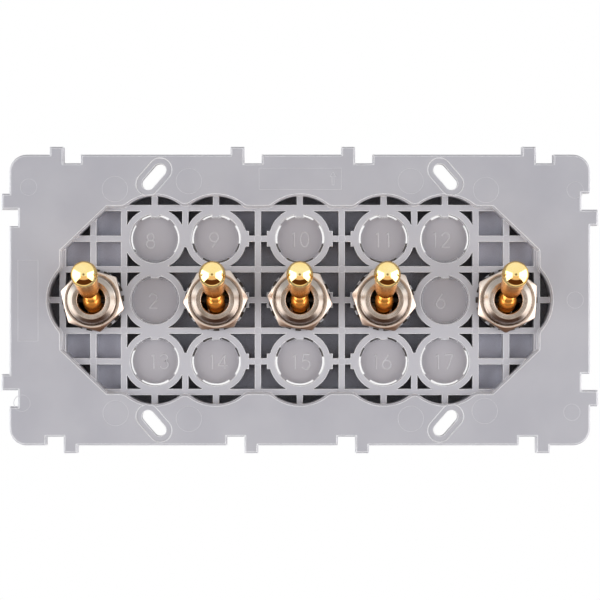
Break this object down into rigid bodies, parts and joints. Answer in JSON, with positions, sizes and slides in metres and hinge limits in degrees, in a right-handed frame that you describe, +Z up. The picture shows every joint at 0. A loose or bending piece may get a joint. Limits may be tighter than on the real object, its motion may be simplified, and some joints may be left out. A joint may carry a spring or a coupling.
{
  "type": "multi-gang light switch",
  "caption": "Moulded fixing plate for a double wall box with a row of brass-levered toggle switches and numbered knock-out discs.",
  "frame": {"origin": "middle of the plate, on the wall plane that the back of the flange rests on", "axes": "+X to the right and +Z up as seen from the front, +Y back into the wall, so the levers stand out towards -Y"},
  "size_m": [0.1452, 0.0574, 0.0746],
  "materials": {
    "grey_plastic": "moulded, fine matt texture",
    "bush_nickel": "turned and nickel plated",
    "nut_nickel": "nickel plated",
    "washer_steel": "stamped, plated",
    "steel": "ground",
    "frame_steel": "folded, zinc plated",
    "black_case": "moulded, satin",
    "terminal_brass": "stamped",
    "lever_brass": "polished",
    "spring_steel": "drawn wire",
    "plunger_brass": "turned",
    "contact_silver": "stamped, plated"
  },
  "bodies": {
    "base": {"mounting_plate": "grey_plastic", "bush_1": "bush_nickel", "pivot_pin_1": "steel", "hex_nut_1": "nut_nickel", "lock_washer_1": "washer_steel", "frame_1": "frame_steel", "case_1": "black_case", "terminals_1": "terminal_brass", "bush_2": "bush_nickel", "pivot_pin_2": "steel", "hex_nut_2": "nut_nickel", "lock_washer_2": "washer_steel", "frame_2": "frame_steel", "case_2": "black_case", "terminals_2": "terminal_brass", "bush_3": "bush_nickel", "pivot_pin_3": "steel", "hex_nut_3": "nut_nickel", "lock_washer_3": "washer_steel", "frame_3": "frame_steel", "case_3": "black_case", "terminals_3": "terminal_brass", "bush_4": "bush_nickel", "pivot_pin_4": "steel", "hex_nut_4": "nut_nickel", "lock_washer_4": "washer_steel", "frame_4": "frame_steel", "case_4": "black_case", "terminals_4": "terminal_brass", "bush_5": "bush_nickel", "pivot_pin_5": "steel", "hex_nut_5": "nut_nickel", "lock_washer_5": "washer_steel", "frame_5": "frame_steel", "case_5": "black_case", "terminals_5": "terminal_brass"},
    "lever_1": {"lever_1": "lever_brass", "spring_1": "spring_steel"},
    "plunger_1": {"plunger_1": "plunger_brass"},
    "rocker_1": {"rocker_1": "contact_silver"},
    "lever_2": {"lever_2": "lever_brass", "spring_2": "spring_steel"},
    "plunger_2": {"plunger_2": "plunger_brass"},
    "rocker_2": {"rocker_2": "contact_silver"},
    "lever_3": {"lever_3": "lever_brass", "spring_3": "spring_steel"},
    "plunger_3": {"plunger_3": "plunger_brass"},
    "rocker_3": {"rocker_3": "contact_silver"},
    "lever_4": {"lever_4": "lever_brass", "spring_4": "spring_steel"},
    "plunger_4": {"plunger_4": "plunger_brass"},
    "rocker_4": {"rocker_4": "contact_silver"},
    "lever_5": {"lever_5": "lever_brass", "spring_5": "spring_steel"},
    "plunger_5": {"plunger_5": "plunger_brass"},
    "rocker_5": {"rocker_5": "contact_silver"}
  },
  "joints": [
    {"name": "lever_1_tilt", "type": "hinge", "parent": "base", "child": "lever_1", "pos_m": [-0.0505, -0.0034, 0], "axis": [1, 0, 0], "range_deg": [0, 36]},
    {"name": "rocker_1_rock", "type": "hinge", "parent": "base", "child": "rocker_1", "pos_m": [-0.0505, 0.0125, 0], "axis": [1, 0, 0], "range_deg": [-20, 0]},
    {"name": "plunger_1_slide", "type": "slide", "parent": "lever_1", "child": "plunger_1", "axis": [0, -0.9511, 0.309], "range_m": [0, 0.0004], "stiffness_N_per_m": 100, "springref_m": -0.002, "deforming": ["spring_1"]},
    {"name": "lever_2_tilt", "type": "hinge", "parent": "base", "child": "lever_2", "pos_m": [-0.0205, -0.0034, 0], "axis": [1, 0, 0], "range_deg": [0, 36]},
    {"name": "rocker_2_rock", "type": "hinge", "parent": "base", "child": "rocker_2", "pos_m": [-0.0205, 0.0125, 0], "axis": [1, 0, 0], "range_deg": [-20, 0]},
    {"name": "plunger_2_slide", "type": "slide", "parent": "lever_2", "child": "plunger_2", "axis": [0, -0.9511, 0.309], "range_m": [0, 0.0004], "stiffness_N_per_m": 100, "springref_m": -0.002, "deforming": ["spring_2"]},
    {"name": "lever_3_tilt", "type": "hinge", "parent": "base", "child": "lever_3", "pos_m": [0, -0.0034, 0], "axis": [1, 0, 0], "range_deg": [0, 36]},
    {"name": "rocker_3_rock", "type": "hinge", "parent": "base", "child": "rocker_3", "pos_m": [0, 0.0125, 0], "axis": [1, 0, 0], "range_deg": [-20, 0]},
    {"name": "plunger_3_slide", "type": "slide", "parent": "lever_3", "child": "plunger_3", "axis": [0, -0.9511, 0.309], "range_m": [0, 0.0004], "stiffness_N_per_m": 100, "springref_m": -0.002, "deforming": ["spring_3"]},
    {"name": "lever_4_tilt", "type": "hinge", "parent": "base", "child": "lever_4", "pos_m": [0.0205, -0.0034, 0], "axis": [1, 0, 0], "range_deg": [0, 36]},
    {"name": "rocker_4_rock", "type": "hinge", "parent": "base", "child": "rocker_4", "pos_m": [0.0205, 0.0125, 0], "axis": [1, 0, 0], "range_deg": [-20, 0]},
    {"name": "plunger_4_slide", "type": "slide", "parent": "lever_4", "child": "plunger_4", "axis": [0, -0.9511, 0.309], "range_m": [0, 0.0004], "stiffness_N_per_m": 100, "springref_m": -0.002, "deforming": ["spring_4"]},
    {"name": "lever_5_tilt", "type": "hinge", "parent": "base", "child": "lever_5", "pos_m": [0.0505, -0.0034, 0], "axis": [1, 0, 0], "range_deg": [0, 36]},
    {"name": "rocker_5_rock", "type": "hinge", "parent": "base", "child": "rocker_5", "pos_m": [0.0505, 0.0125, 0], "axis": [1, 0, 0], "range_deg": [-20, 0]},
    {"name": "plunger_5_slide", "type": "slide", "parent": "lever_5", "child": "plunger_5", "axis": [0, -0.9511, 0.309], "range_m": [0, 0.0004], "stiffness_N_per_m": 100, "springref_m": -0.002, "deforming": ["spring_5"]}
  ],
  "couplings": [
    {"joint": "rocker_1_rock", "follows": "lever_1_tilt", "ratio": -0.55556},
    {"joint": "rocker_2_rock", "follows": "lever_2_tilt", "ratio": -0.55556},
    {"joint": "rocker_3_rock", "follows": "lever_3_tilt", "ratio": -0.55556},
    {"joint": "rocker_4_rock", "follows": "lever_4_tilt", "ratio": -0.55556},
    {"joint": "rocker_5_rock", "follows": "lever_5_tilt", "ratio": -0.55556}
  ]
}
